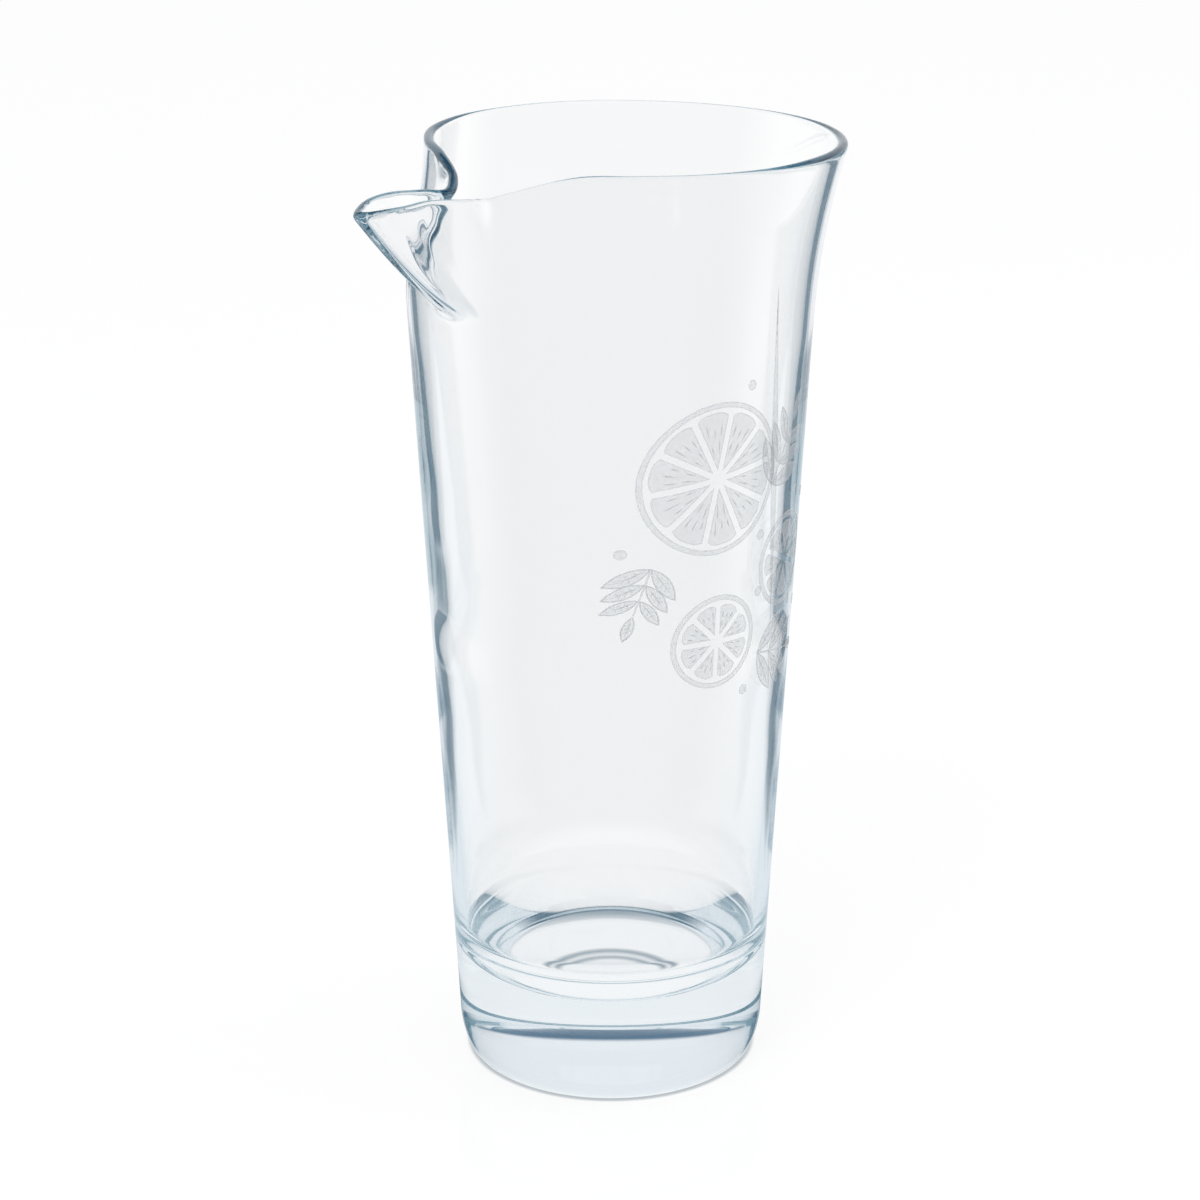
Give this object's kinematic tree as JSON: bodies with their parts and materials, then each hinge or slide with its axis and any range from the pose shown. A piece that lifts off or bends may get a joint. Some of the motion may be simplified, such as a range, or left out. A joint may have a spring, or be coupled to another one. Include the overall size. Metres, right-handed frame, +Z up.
{
  "type": "cocktail pitcher",
  "caption": "Tall clear glass pitcher with a flared rim, a narrow pinched pouring spout, a thick solid base and a frosted citrus ornament on its front.",
  "frame": {"origin": "centre of the resting face under the base", "axes": "+Z up along the pitcher's axis, the pouring spout points along -X, the ornament faces -Y"},
  "size_m": [0.1369, 0.1102, 0.24],
  "materials": {
    "clear_glass": "clear, fire polished",
    "frosted_enamel": "matt, frosted"
  },
  "bodies": {
    "root": {"glass_body": "clear_glass", "frosted_ornament": "frosted_enamel"}
  },
  "joints": []
}
